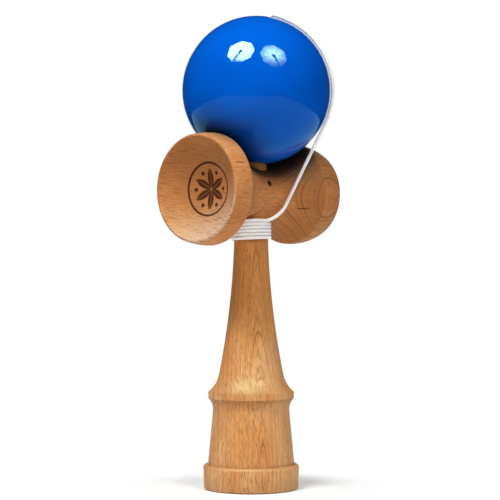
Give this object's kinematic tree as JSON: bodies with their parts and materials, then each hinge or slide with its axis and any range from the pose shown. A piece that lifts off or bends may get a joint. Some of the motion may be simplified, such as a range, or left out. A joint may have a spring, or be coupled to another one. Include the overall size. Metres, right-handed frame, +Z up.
{
  "type": "kendama",
  "caption": "Wooden kendama: turned stick with spike and base cup, cross-piece with a big and a small cup, and a lacquered ball tied on by a string wound round the stick.",
  "frame": {"origin": "centre of the stick's foot ring, on the surface that it stands on", "axes": "+Z up along the stick to the spike; the big cup faces -X, the small cup faces +X and the front is -Y"},
  "size_m": [0.0677, 0.06, 0.1911],
  "materials": {
    "stick_wood": "bare sanded beech",
    "cross_wood": "bare sanded beech",
    "ball_lacquer": "glossy blue lacquer",
    "bead_wood": "bare wood",
    "string_cotton": "white braided cotton"
  },
  "bodies": {
    "root": {"ken_stick": "stick_wood", "sarado_cross": "cross_wood", "string_winding": "string_cotton", "string_run": "string_cotton", "string_knot": "string_cotton"},
    "tether": {"bead": "bead_wood", "bead_knot": "string_cotton", "string_tail": "string_cotton"},
    "ball": {"tama_ball": "ball_lacquer"}
  },
  "joints": [
    {"name": "tama_lift", "type": "slide", "parent": "root", "child": "tether", "axis": [0, 0, 1], "range_m": [0, 0.05], "deforming": ["string_run"]},
    {"name": "tama_spin", "type": "hinge", "parent": "tether", "child": "ball", "pos_m": [0, -0.00278, 0.16091], "axis": [0, -0.2334, 0.9724], "continuous": true}
  ]
}
